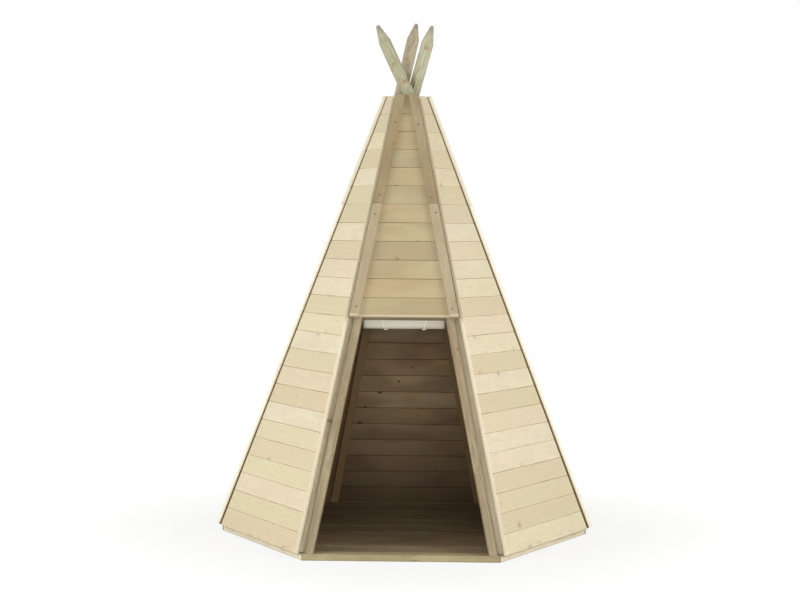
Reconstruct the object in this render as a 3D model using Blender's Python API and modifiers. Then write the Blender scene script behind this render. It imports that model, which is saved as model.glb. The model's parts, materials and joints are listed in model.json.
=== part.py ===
"""A child's wooden teepee: a six-sided pyramid of pine boards on a boarded floor,
with three crossed stakes at the top and a canvas door rolled up under the lintel.

Metres, +Z up. The origin is on the ground under the middle of the floor, and the doorway
faces -Y. Every wall leans in, so its pieces are modelled flat in the wall's own frame:
x across the wall, y up its slope from the boards' bottom edge, z out of its face.
"""

import math

import bmesh
import bpy
from mathutils import Matrix, Vector

# The faces in turn, by the compass angle that each looks towards
SIDES = 6
FRONT, RIGHT, BACK_RIGHT = "front", "right", "back_right"
BACK, BACK_LEFT, LEFT = "back", "back_left", "left"
FACE_DEGREES = {FRONT: 270, RIGHT: 330, BACK_RIGHT: 30, BACK: 90, BACK_LEFT: 150, LEFT: 210}
BATTENED_FACES = (FRONT, BACK_RIGHT, BACK_LEFT)
HALF_CORNER = math.pi / SIDES

# Clearances
fit_gap = 0.0003
arris_width = 0.0015

# Boards of the walls
board_cover_width = 0.0873
board_thickness = 0.019
boards_in_wall = 18
boards_in_crown = 6
boards_over_door = 6
joint_width = 0.004
joint_depth = 0.0035
inner_joint_width = 0.003
inner_joint_depth = 0.002
section_gap = 0.001

# Base
wall_bottom_apothem_length = 0.752
rim_height = 0.028
rim_width = 0.070
rim_mitre_gap = 0.0009
board_lap_height = 0.004
floor_thickness = 0.018
floor_board_count = 15
floor_edge_gap = 0.0008
bearer_width = 0.060
bearer_spacing_width = 0.400

# Edges of the boards: the battened walls come near the corners, the others stop short of them
front_edge_inset_width = 0.002
back_edge_inset_width = 0.009
plain_edge_inset_bottom_width = 0.0388
plain_edge_inset_top_width = 0.0230

# Timbers
timber_width = 0.038
timber_depth = 0.038
rail_inset_bottom_width = 0.010
rail_inset_top_width = 0.020
front_post_inset_width = 0.0225
back_post_inset_width = 0.0175
batten_width = 0.043
batten_thickness = 0.015

# Stakes that cross in the crown's mouth
pole_diameter = 0.057
pole_tip_diameter = 0.015
pole_taper_length = 0.082
pole_extra_lean = math.radians(6.6)
crossing_height_above_crown = 0.0145
crown_clearance_gap = 0.0075
rail_to_pole_gap = 0.030
pole_left_rise_length = 0.337
pole_back_rise_length = 0.370
pole_right_rise_length = 0.330

# Canvas door, rolled up behind the lintel
canvas_width = 0.362
canvas_thickness = 0.00095
canvas_fixing_height = 0.020
roll_half_depth = 0.022
roll_half_height = 0.025
roll_core_radius = 0.005
roll_turns = 12
roll_points_per_turn = 16
roll_centre_drop_height = 0.0150
tie_diameter = 0.0035
tie_spacing_width = 0.184
tie_above_roll_share = 0.90

# Each stake: the compass angle its tip leans towards, and its length above the crossing
STAKES = {
    "pole_left": (math.radians(186.5), pole_left_rise_length),
    "pole_back": (math.radians(64), pole_back_rise_length),
    "pole_right": (math.radians(307), pole_right_rise_length),
}

# Shape of the pyramid, worked out from the sizes above
wall_length = board_cover_width * (boards_in_wall + boards_in_crown)
pole_radius = pole_diameter / 2


def stake_direction(towards, lean):
    across = math.sin(lean)
    return Vector((across * math.cos(towards), across * math.sin(towards), math.cos(lean)))


def stake_side(towards):
    """The level direction square to a stake, in which it is set off from the middle."""
    return Vector((-math.sin(towards), math.cos(towards), 0.0))


def stake_offsets(lean):
    """How far each stake's axis passes from the middle, so that every two of them just touch."""
    angles = [towards for towards, rise in STAKES.values()]
    rows = []
    for i, j in ((0, 1), (1, 2), (2, 0)):
        between = stake_direction(angles[j], lean).cross(stake_direction(angles[i], lean)).normalized()
        row = [0.0, 0.0, 0.0]
        row[i] = stake_side(angles[i]).dot(between)
        row[j] = -stake_side(angles[j]).dot(between)
        rows.append(row)
    apart = pole_diameter + fit_gap
    return Matrix(rows).inverted() @ Vector((apart, apart, apart))


def solve_tilt():
    """Tilt of the walls, whose crown leaves room for the stakes, which lean a little more."""
    tilt = math.asin(wall_bottom_apothem_length / wall_length)
    for _ in range(8):
        mouth = max(stake_offsets(tilt + pole_extra_lean)) + pole_radius + crown_clearance_gap
        tilt = math.asin((wall_bottom_apothem_length - board_thickness - mouth) / wall_length)
    return tilt


wall_tilt = solve_tilt()
pole_lean = wall_tilt + pole_extra_lean
pole_offsets = dict(zip(STAKES, stake_offsets(pole_lean)))
TILT_SIN = math.sin(wall_tilt)
TILT_COS = math.cos(wall_tilt)
wall_bottom_z = rim_height - board_lap_height + board_thickness * TILT_SIN
wall_top_z = wall_bottom_z + wall_length * TILT_COS
crossing_z = wall_top_z + crossing_height_above_crown
boards_inside_apothem = wall_bottom_apothem_length - board_thickness * TILT_COS
rim_apothem = boards_inside_apothem - board_lap_height * TILT_SIN / TILT_COS - fit_gap
seam_height = board_cover_width * boards_in_wall
door_height = board_cover_width * (boards_in_wall - boards_over_door)
timber_face = -board_thickness - fit_gap
timber_back = timber_face - timber_depth

parts = None


def start_scene():
    """Empty the scene, and make the collection that holds the teepee."""
    global parts
    for thing in list(bpy.data.objects):
        bpy.data.objects.remove(thing, do_unlink=True)
    parts = bpy.data.collections.new("wooden_teepee")
    bpy.context.scene.collection.children.link(parts)


def make_material(name, colour, roughness):
    material = bpy.data.materials.new(name)
    material.use_nodes = True
    shader = material.node_tree.nodes["Principled BSDF"]
    shader.inputs["Base Color"].default_value = (*colour, 1.0)
    shader.inputs["Roughness"].default_value = roughness
    shader.inputs["Metallic"].default_value = 0.0
    return material


def add_part(name, mesh, material, parent=None):
    part = bpy.data.objects.new(name, mesh)
    part.data.materials.clear()
    part.data.materials.append(material)
    parts.objects.link(part)
    part.parent = parent
    return part


def add_empty(name, location, rotation):
    empty = bpy.data.objects.new(name, None)
    parts.objects.link(empty)
    empty.location = location
    empty.rotation_euler = rotation
    return empty


def ease_edges(part):
    bevel = part.modifiers.new("eased_edges", "BEVEL")
    bevel.width = arris_width
    bevel.segments = 1
    bevel.limit_method = "ANGLE"


def mesh_from_curve(curve_object):
    """The curve's evaluated mesh, with its caps welded on."""
    bpy.context.view_layer.update()
    graph = bpy.context.evaluated_depsgraph_get()
    mesh = bpy.data.meshes.new_from_object(curve_object.evaluated_get(graph))
    form = bmesh.new()
    form.from_mesh(mesh)
    bmesh.ops.remove_doubles(form, verts=form.verts, dist=fit_gap / 10)
    bmesh.ops.recalc_face_normals(form, faces=form.faces)
    form.to_mesh(mesh)
    form.free()
    bpy.data.objects.remove(curve_object, do_unlink=True)
    return mesh


def extruded_outline(name, points, half_depth):
    """A flat outline in XY, extruded along Z by half_depth each way."""
    curve = bpy.data.curves.new(name, "CURVE")
    curve.dimensions = "2D"
    curve.fill_mode = "BOTH"
    curve.extrude = half_depth
    spline = curve.splines.new("POLY")
    spline.points.add(len(points) - 1)
    for point, (across, up) in zip(spline.points, points):
        point.co = (across, up, 0.0, 1.0)
    spline.use_cyclic_u = True
    outline = bpy.data.objects.new(name, curve)
    parts.objects.link(outline)
    return mesh_from_curve(outline)


def shaped_cube(name, corner):
    """A cube whose eight corners are put where corner(x, y, z) says, from signs of -1 or 1."""
    form = bmesh.new()
    bmesh.ops.create_cube(form, size=1)
    for vert in form.verts:
        signs = [math.copysign(1, value) for value in vert.co]
        vert.co = Vector(corner(*signs))
    form.normal_update()
    bmesh.ops.recalc_face_normals(form, faces=form.faces)
    mesh = bpy.data.meshes.new(name)
    form.to_mesh(mesh)
    form.free()
    return mesh


def trim_to_walls(mesh, apothem, angles):
    """Cut off what lies beyond upright planes that face these ways, an apothem from the middle."""
    form = bmesh.new()
    form.from_mesh(mesh)
    for angle in angles:
        out = Vector((math.cos(angle), math.sin(angle), 0.0))
        geometry = form.verts[:] + form.edges[:] + form.faces[:]
        bmesh.ops.bisect_plane(form, geom=geometry, plane_co=out * apothem, plane_no=out, clear_outer=True)
        rim = [edge for edge in form.edges if edge.is_boundary]
        bmesh.ops.holes_fill(form, edges=rim)
    bmesh.ops.recalc_face_normals(form, faces=form.faces)
    form.to_mesh(mesh)
    form.free()


# Half widths of a wall, at a height up its slope


def corner_half_width(height):
    """Where the wall's face would meet the next one's."""
    return (wall_bottom_apothem_length - height * TILT_SIN) * math.tan(HALF_CORNER)


def front_half_width(height):
    return corner_half_width(height) - front_edge_inset_width


def back_half_width(height):
    return corner_half_width(height) - back_edge_inset_width


def along_wall(height, at_bottom, at_top):
    return at_bottom + (at_top - at_bottom) * height / wall_length


def plain_half_width(height):
    inset = along_wall(height, plain_edge_inset_bottom_width, plain_edge_inset_top_width)
    return corner_half_width(height) - inset


def rail_outer(height):
    """Outer side of a timber behind a wall without battens, clear of the next wall's post."""
    return plain_half_width(height) - along_wall(height, rail_inset_bottom_width, rail_inset_top_width)


def front_post_outer(height):
    """Outer side of a door post."""
    return corner_half_width(height) - front_post_inset_width


def back_post_outer(height):
    """Outer side of a timber behind a battened wall at the back."""
    return corner_half_width(height) - back_post_inset_width


def height_at(world_z, depth):
    """Height up the slope of a level plane, at a depth measured out of the wall's face."""
    return (world_z - wall_bottom_z - depth * TILT_SIN) / TILT_COS


def world_z_at(height, depth):
    return wall_bottom_z + height * TILT_COS + depth * TILT_SIN


def apothem_at(height, depth):
    return wall_bottom_apothem_length - height * TILT_SIN + depth * TILT_COS


# Stakes: how far below their crossing they run before they lie against the boards


def pole_fall(name):
    """Length of a stake below the crossing, so that its lower end seats on the nearest wall."""
    towards = STAKES[name][0]
    down = -stake_direction(towards, pole_lean)
    start = stake_side(towards) * pole_offsets[name] + Vector((0.0, 0.0, crossing_z))
    inner_face = TILT_COS * wall_bottom_apothem_length + TILT_SIN * wall_bottom_z - board_thickness
    falls = []
    for degrees in FACE_DEGREES.values():
        angle = math.radians(degrees)
        normal = Vector((TILT_COS * math.cos(angle), TILT_COS * math.sin(angle), TILT_SIN))
        facing = normal.dot(down)
        if facing > 0:
            reach = pole_radius * math.sqrt(1 - facing**2)
            falls.append((inner_face - fit_gap - reach - normal.dot(start)) / facing)
    return min(falls)


def poles_lowest_z():
    drop = max(pole_fall(name) for name in STAKES) * math.cos(pole_lean)
    return crossing_z - drop - pole_radius * math.sin(pole_lean)


rail_top = height_at(poles_lowest_z() - rail_to_pole_gap, timber_face)


def wall_frame(face):
    """An empty at the bottom edge of a wall, with x across it, y up it and z out of it."""
    angle = math.radians(FACE_DEGREES[face])
    place = (
        wall_bottom_apothem_length * math.cos(angle),
        wall_bottom_apothem_length * math.sin(angle),
        wall_bottom_z,
    )
    turn = (math.pi / 2 - wall_tilt, 0.0, angle + math.pi / 2)
    return add_empty(f"wall_frame_{face}", place, turn)


def board_profile(ends, count):
    """Section through a panel of boards, as (height, depth) points, with a V at each joint."""
    bottom, top = ends
    pitch = (top - bottom) / count
    joints = [bottom + pitch * i for i in range(1, count)]
    points = [(bottom, 0.0)]
    for joint in joints:
        points += [(joint - joint_width / 2, 0.0), (joint, -joint_depth), (joint + joint_width / 2, 0.0)]
    points += [(top, 0.0), (top, -board_thickness)]
    for joint in reversed(joints):
        points += [
            (joint + inner_joint_width / 2, -board_thickness),
            (joint, inner_joint_depth - board_thickness),
            (joint - inner_joint_width / 2, -board_thickness),
        ]
    points += [(bottom, -board_thickness)]
    return points


def add_board_panel(name, frame, ends, count, half_width, material):
    """Tongued boards nailed up as one panel, its two sides cut along the corners' slope."""
    profile = board_profile(ends, count)
    mesh = extruded_outline(name, profile, board_cover_width)
    for vert in mesh.vertices:
        height, depth, end = vert.co
        vert.co = (math.copysign(half_width(height), end), height, depth)
    return add_part(name, mesh, material, frame)


def add_timber(name, frame, side, edges, depths, bottom, top, material):
    """A bar that leans with the wall. edges gives its inner and outer side at a height,
    depths its two faces, and bottom and top the height of its ends at a depth."""
    inner, outer = edges
    back, face = depths

    def corner(across, up, out):
        depth = face if out > 0 else back
        height = top(depth) if up > 0 else bottom(depth)
        edge = outer(height) if across > 0 else inner(height)
        return (side * edge, height, depth)

    part = add_part(name, shaped_cube(name, corner), material, frame)
    ease_edges(part)
    return part


def add_upright(name, frame, side, outer, material):
    """A rail or post behind a wall's boards, from the rim to just under the stakes."""

    def foot(depth):
        return height_at(rim_height + fit_gap, depth)

    def head(depth):
        return rail_top

    edges = (lambda height: outer(height) - timber_width, outer)
    add_timber(name, frame, side, edges, (timber_back, timber_face), foot, head, material)


def add_cover_batten(name, frame, side, outer, ends, material):
    """A batten over the ends of the boards, flush with them at the corner."""
    bottom, top = ends
    edges = (lambda height: outer(height) - batten_width, outer)
    depths = (fit_gap, fit_gap + batten_thickness)
    add_timber(name, frame, side, edges, depths, lambda depth: bottom, lambda depth: top, material)


def add_lintel(frame, material):
    """The rail behind the boards over the door, between the two door posts."""

    def end(height):
        return front_post_outer(height) - timber_width - fit_gap

    def corner(across, up, out):
        depth = timber_face if out > 0 else timber_back
        height = door_height + (timber_width if up > 0 else 0.0)
        return (math.copysign(end(height), across), height, depth)

    ease_edges(add_part("door_lintel", shaped_cube("door_lintel", corner), material, frame))


def add_wall(face, materials):
    """One wall: its boards, its crown section, two uprights and any cover battens."""
    frame = wall_frame(face)
    battened = face in BATTENED_FACES
    half_width, outer = plain_half_width, rail_outer
    if battened:
        half_width, outer = back_half_width, back_post_outer
    if face == FRONT:
        half_width, outer = front_half_width, front_post_outer
    bottom = door_height if face == FRONT else 0.0
    count = boards_over_door if face == FRONT else boards_in_wall
    boards = materials["front_boards"] if battened else materials["side_boards"]
    wall = (bottom, seam_height - section_gap / 2)
    crown = (seam_height + section_gap / 2, wall_length)
    add_board_panel(f"wall_boards_{face}", frame, wall, count, half_width, boards)
    add_board_panel(f"crown_boards_{face}", frame, crown, boards_in_crown, half_width, boards)
    for hand, side in (("left", -1), ("right", 1)):
        name = f"door_post_{hand}" if face == FRONT else f"rail_{face}_{hand}"
        add_upright(name, frame, side, outer, materials["posts"])
        if battened:
            name = f"batten_{face}_{hand}"
            add_cover_batten(name, frame, side, half_width, wall, materials["battens"])
            name = f"crown_batten_{face}_{hand}"
            add_cover_batten(name, frame, side, half_width, crown, materials["battens"])
    if face == FRONT:
        add_lintel(frame, materials["posts"])


def add_rim_board(face, material):
    """One mitred board of the hexagonal rim that the walls stand on."""
    angle = math.radians(FACE_DEGREES[face])

    def corner(across, out, up):
        apothem = rim_apothem if out > 0 else rim_apothem - rim_width
        half = apothem * math.tan(HALF_CORNER) - rim_mitre_gap / 2
        return (math.copysign(half, across), -apothem, rim_height if up > 0 else 0.0)

    name = f"rim_{face}"
    part = add_part(name, shaped_cube(name, corner), material)
    part.rotation_euler = (0.0, 0.0, angle + math.pi / 2)
    ease_edges(part)


def add_floor(material, bearer_material):
    """Boards level with the rim's top, on three bearers that lie on the ground."""
    apothem = rim_apothem - rim_width - floor_edge_gap
    bottom = rim_height - floor_thickness
    pitch = 2 * apothem / floor_board_count
    joints = [pitch * i - apothem for i in range(1, floor_board_count)]
    points = [(-apothem, rim_height)]
    for joint in joints:
        points += [
            (joint - joint_width / 2, rim_height),
            (joint, rim_height - joint_depth),
            (joint + joint_width / 2, rim_height),
        ]
    points += [(apothem, rim_height), (apothem, bottom), (-apothem, bottom)]
    mesh = extruded_outline("floor_boards", points, 2 * apothem * math.tan(HALF_CORNER))
    for vert in mesh.vertices:
        along, up, end = vert.co
        vert.co = (end, along, up)
    cuts = [math.radians(FACE_DEGREES[face]) for face in (RIGHT, BACK_RIGHT, BACK_LEFT, LEFT)]
    trim_to_walls(mesh, apothem, cuts)
    add_part("floor_boards", mesh, material)
    inside = apothem + floor_edge_gap - fit_gap
    for name, side in (("left", -1), ("centre", 0), ("right", 1)):
        middle = side * bearer_spacing_width
        outer = abs(middle) + bearer_width / 2
        half_length = min(inside, 2 * (inside - outer * math.cos(HALF_CORNER)))

        def corner(across, along, up):
            top = bottom - fit_gap if up > 0 else 0.0
            return (across * bearer_width / 2, along * half_length, top)

        name = f"floor_bearer_{name}"
        part = add_part(name, shaped_cube(name, corner), bearer_material)
        part.location.x = middle


def add_poles(material):
    """Three pointed round stakes, which lean outwards above the crown and touch as they cross."""
    crossing = add_empty("pole_crossing", (0.0, 0.0, crossing_z), (0.0, 0.0, 0.0))
    for name, (towards, rise) in STAKES.items():
        fall = pole_fall(name)
        profile = [
            (0.0, rise),
            (pole_tip_diameter / 2, rise),
            (pole_radius, rise - pole_taper_length),
            (pole_radius, -fall),
            (0.0, -fall),
        ]
        mesh = bpy.data.meshes.new(name)
        edges = [(i, i + 1) for i in range(len(profile) - 1)]
        mesh.from_pydata([(radius, 0.0, height) for radius, height in profile], edges, [])
        pole = add_part(name, mesh, material, crossing)
        turned = pole.modifiers.new("turned", "SCREW")
        turned.steps = 24
        turned.render_steps = 24
        turned.use_merge_vertices = True
        turned.merge_threshold = fit_gap / 10
        turned.use_smooth_shade = True
        pole.location = stake_side(towards) * pole_offsets[name]
        pole.rotation_euler = (0.0, pole_lean, towards)
        print(f"{name} is {(rise + fall) * 1000:.0f} mm long")


def lintel_back(height):
    """Y and Z of a point on the lintel's inner face, at a height above its lower edge."""
    return -apothem_at(door_height + height, timber_back), world_z_at(door_height + height, timber_back)


def roll_point(angle, inset):
    """Point of the oval roll, inset from its outside, as (depth, height) about its centre."""
    shrink = 1 - inset / roll_half_depth
    return roll_half_depth * shrink * math.cos(angle), roll_half_height * shrink * math.sin(angle)


def roll_outline():
    """The canvas in section: a spiral ribbon that ends on the side towards the door."""
    steps = roll_turns * roll_points_per_turn
    depth_of_turns = roll_half_depth - roll_core_radius
    outside = []
    inside = []
    for i in range(steps + 1):
        angle = math.pi + 2 * math.pi * i / roll_points_per_turn
        inset = depth_of_turns * i / steps
        outside.append(roll_point(angle, inset))
        inside.append(roll_point(angle, inset + canvas_thickness))
    return outside + inside[::-1]


def least_gap_in_roll():
    """Clear space between neighbouring turns, at the narrowest."""
    pitch = (roll_half_depth - roll_core_radius) / roll_turns
    return pitch - canvas_thickness


def add_canvas_door(canvas, cord):
    """A canvas sheet fixed along the lintel, rolled up outside-in and held by two ties."""
    fixing_y, fixing_z = lintel_back(canvas_fixing_height)
    sheet_y = fixing_y + fit_gap
    centre = Vector((0.0, sheet_y + roll_half_depth, lintel_back(0.0)[1] - roll_centre_drop_height))
    print(f"least gap between the turns of the canvas: {least_gap_in_roll() * 1000:.2f} mm")

    def corner(across, out, up):
        top = fixing_z - centre.z if up > 0 else fit_gap
        near = -roll_half_depth + (canvas_thickness if out > 0 else 0.0)
        return (across * canvas_width / 2, near, top)

    sheet = add_part("door_canvas", shaped_cube("door_canvas", corner), canvas)
    sheet.location = centre

    mover = add_empty("door_roll_axis", centre, (0.0, 0.0, 0.0))
    mesh = extruded_outline("door_canvas_roll", roll_outline(), canvas_width / 2)
    roll = add_part("door_canvas_roll", mesh, canvas, mover)
    roll.rotation_euler = (math.pi / 2, 0.0, math.pi / 2)
    for name, side in (("door_tie_left", -1), ("door_tie_right", 1)):
        add_tie(name, mover, side * tie_spacing_width / 2, cord)


def tie_route():
    """The cord's middle line about the roll's centre: down the front, round and over the top."""
    clear = fit_gap + tie_diameter / 2
    depth = roll_half_depth + clear
    height = roll_half_height + clear
    front_top = roll_centre_drop_height * tie_above_roll_share
    points = [(-depth, front_top), (-depth, front_top / 2)]
    sheet_back = roll_half_depth - canvas_thickness - clear
    turn = 2 * math.pi - math.acos(sheet_back / depth)
    steps = 28
    for i in range(steps + 1):
        angle = math.pi + turn * i / steps
        points.append((depth * math.cos(angle), height * math.sin(angle)))
    return points


def add_tie(name, parent, place, material):
    """A cord round the roll, with its knot low on the front."""
    curve = bpy.data.curves.new(name, "CURVE")
    curve.dimensions = "3D"
    curve.bevel_depth = tie_diameter / 2
    curve.bevel_resolution = 2
    curve.use_fill_caps = True
    route = tie_route()
    spline = curve.splines.new("POLY")
    spline.points.add(len(route) - 1)
    for point, (depth, height) in zip(spline.points, route):
        point.co = (place, depth, height, 1.0)
    tube = bpy.data.objects.new(name, curve)
    parts.objects.link(tube)
    mesh = mesh_from_curve(tube)
    add_part(name, mesh, material, parent)


def main():
    start_scene()
    materials = {
        "side_boards": make_material("side_boards", (0.74, 0.64, 0.44), 0.62),
        "front_boards": make_material("front_boards", (0.55, 0.44, 0.25), 0.62),
        "battens": make_material("battens", (0.44, 0.36, 0.23), 0.66),
        "posts": make_material("posts", (0.46, 0.40, 0.26), 0.66),
        "rim": make_material("rim", (0.50, 0.45, 0.29), 0.66),
        "floor": make_material("floor", (0.36, 0.28, 0.19), 0.66),
        "poles": make_material("poles", (0.50, 0.46, 0.32), 0.70),
        "canvas": make_material("canvas", (0.66, 0.66, 0.60), 0.85),
        "cord": make_material("cord", (0.78, 0.78, 0.72), 0.80),
    }
    for face in FACE_DEGREES:
        add_rim_board(face, materials["rim"])
        add_wall(face, materials)
    add_floor(materials["floor"], materials["rim"])
    add_poles(materials["poles"])
    add_canvas_door(materials["canvas"], materials["cord"])
    print(f"walls tilt {math.degrees(wall_tilt):.2f} degrees")
    print(f"boards from {wall_bottom_z:.4f} to {wall_top_z:.4f} m")


main()
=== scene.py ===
"""Looks of a child's wooden teepee: planed softwood walls, crossed stakes and a rolled canvas door.

Metres, +Z up. The origin is on the ground under the middle of the floor, and the doorway
faces -Y, as in the solids that the frame holds.
"""

import json
import math
from functools import partial

import bmesh
import bpy
from bpy.props import FloatProperty, FloatVectorProperty, PointerProperty
from mathutils import Matrix, Vector

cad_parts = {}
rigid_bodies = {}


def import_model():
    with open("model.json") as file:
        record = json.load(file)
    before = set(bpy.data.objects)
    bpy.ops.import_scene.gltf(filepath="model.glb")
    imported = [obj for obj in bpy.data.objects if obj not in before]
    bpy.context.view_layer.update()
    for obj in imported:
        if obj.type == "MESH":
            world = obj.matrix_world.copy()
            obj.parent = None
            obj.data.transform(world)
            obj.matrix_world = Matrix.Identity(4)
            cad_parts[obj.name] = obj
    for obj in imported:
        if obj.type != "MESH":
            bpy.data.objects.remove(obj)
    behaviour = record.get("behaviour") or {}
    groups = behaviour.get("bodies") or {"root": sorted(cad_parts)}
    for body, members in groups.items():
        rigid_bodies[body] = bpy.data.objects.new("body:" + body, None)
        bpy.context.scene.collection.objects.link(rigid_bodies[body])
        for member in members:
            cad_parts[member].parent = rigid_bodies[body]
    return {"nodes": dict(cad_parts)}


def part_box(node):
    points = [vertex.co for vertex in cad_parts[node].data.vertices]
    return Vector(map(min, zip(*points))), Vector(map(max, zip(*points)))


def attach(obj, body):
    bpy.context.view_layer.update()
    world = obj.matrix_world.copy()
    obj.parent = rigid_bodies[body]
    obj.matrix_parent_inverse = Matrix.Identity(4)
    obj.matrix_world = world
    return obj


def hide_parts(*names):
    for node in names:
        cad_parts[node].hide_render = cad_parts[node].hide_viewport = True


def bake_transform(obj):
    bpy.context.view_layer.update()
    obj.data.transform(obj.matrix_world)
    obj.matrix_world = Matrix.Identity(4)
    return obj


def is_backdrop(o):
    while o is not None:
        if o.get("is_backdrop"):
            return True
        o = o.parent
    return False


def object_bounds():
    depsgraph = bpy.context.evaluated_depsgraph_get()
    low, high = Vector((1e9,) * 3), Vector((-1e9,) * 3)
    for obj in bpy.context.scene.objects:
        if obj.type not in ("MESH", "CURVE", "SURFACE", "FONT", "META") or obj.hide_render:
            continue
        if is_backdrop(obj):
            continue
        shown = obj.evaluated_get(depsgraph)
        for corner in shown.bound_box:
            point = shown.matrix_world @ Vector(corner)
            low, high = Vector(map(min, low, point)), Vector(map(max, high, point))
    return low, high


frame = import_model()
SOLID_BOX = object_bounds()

bl_info = {
    "name": "Wooden play teepee",
    "version": (1, 0, 0),
    "blender": (4, 5, 0),
    "location": "3D View > Sidebar > Teepee",
    "description": "Finishes a child's wooden teepee: softwood, canvas door, cords, fixings and stage",
    "category": "Object",
}

NODES = frame["nodes"]
UP = Vector((0.0, 0.0, 1.0))

# The faces, by the compass angle that each looks towards. On the battened ones the boards reach
# the corners, and on the plain ones they stop short of them.
FACE_DEGREES = {"front": 270, "right": 330, "back_right": 30, "back": 90, "back_left": 150, "left": 210}
BATTENED_FACES = ("front", "back_right", "back_left")
PLAIN_FACES = ("right", "back", "left")
HANDS = {"left": -1, "right": 1}
HALF_CORNER = math.pi / 6
# Ends of the plain walls that stand beside the doorway, and that have a stake's foot above them
DOORWAY_ENDS = ("left_right", "right_left")
STAKED_ENDS = ("back_right", "right_right")
# The draw that settles the tone and the grain of each wall's boards
BOARD_DRAWS = {"front": 1964, "right": 1915, "back_right": 17, "back": 20, "back_left": 23, "left": 805}
# The first draw of the other kinds of piece, which go up by one from piece to piece
DRAWS = {"rim": 50, "bearer": 60, "floor": 70, "stake": 80, "lintel": 91, "timber": 101, "lath": 141}

# The solids' own sizes. Heights in a wall are measured up its slope.
WALL_TILT = 0.32148505
WALL_FOOT_APOTHEM = 0.752
WALL_FOOT_Z = 0.03000354
WALL_LENGTH = 2.0952
SEAM_HEIGHT = 1.5714
DOOR_HEIGHT = 1.0476
BOARD_PITCH = 0.0873
BOARD_THICKNESS = 0.019
BOARDS_IN_A_WALL = 24
PLAIN_SETBACK_FOOT = 0.0388
PLAIN_SETBACK_TOP = 0.0230
BATTEN_WIDTH = 0.043
BATTEN_FACE = 0.0153
TIMBER_WIDTH = 0.038
RIM_APOTHEM = 0.7323413
FLOOR_APOTHEM = 0.66154127
FLOOR_PITCH = 0.0882055
FLOOR_TOP = 0.028
FLOOR_THICKNESS = 0.018
ROLL_CENTRE = Vector((0.0, -0.33799979, 0.99082667))
ROLL_HALF_DEPTH = 0.022
ROLL_HALF_HEIGHT = 0.025
ROLL_CORE = 0.005
ROLL_TURNS = 12
CANVAS_WIDTH = 0.362
CANVAS_THICKNESS = 0.00095
CANVAS_TOP_Z = 1.0248
TIE_PLACES = {"door_tie_left": -0.092, "door_tie_right": 0.092}
CORD_STRANDS = 3
CORD_CLEARANCE = 0.0002
SCREW_PROUD = 0.0002
NAIL_PROUD = 0.0001

# The thin laths that close the corners inside, by how they lie over the ends of the boards
LATH_THICKNESS = 0.005
LATH_CLEARANCE = 0.0003
LATH_LAP = 0.010
LATH_FROM_CORNER = 0.0116
LATH_FOOT = 0.0065
LATH_FOOT_OVER_DOOR = DOOR_HEIGHT + 0.004
LATH_TOP = 1.93
LATH_TOP_UNDER_STAKE = 1.715

# The camera that the photograph was taken with. Its turns are in radians.
CAMERA_PLACE = (0.1251, -8.1774, 1.4181)
CAMERA_YAW, CAMERA_PITCH, CAMERA_ROLL = -0.0185, -0.0412, 0.0078


def linear(hex_colour):
    """An sRGB hex colour as the linear colour that Blender's sockets hold."""
    values = [int(hex_colour[i : i + 2], 16) / 255 for i in (1, 3, 5)]
    return tuple(v / 12.92 if v <= 0.04045 else ((v + 0.055) / 1.055) ** 2.4 for v in values)


def colour_setting(name, description, hex_colour):
    default = linear(hex_colour)
    return FloatVectorProperty(
        name=name, description=description, subtype="COLOR", size=3, min=0, max=1, default=default
    )


def length_setting(name, description, metres):
    return FloatProperty(
        name=name, description=description, subtype="DISTANCE", unit="LENGTH", default=metres
    )


def factor_setting(name, description, share):
    return FloatProperty(
        name=name, description=description, subtype="FACTOR", min=0, max=1, default=share
    )


def power_setting(name, description, watts):
    return FloatProperty(name=name, description=description, unit="POWER", default=watts)


# Settings


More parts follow.
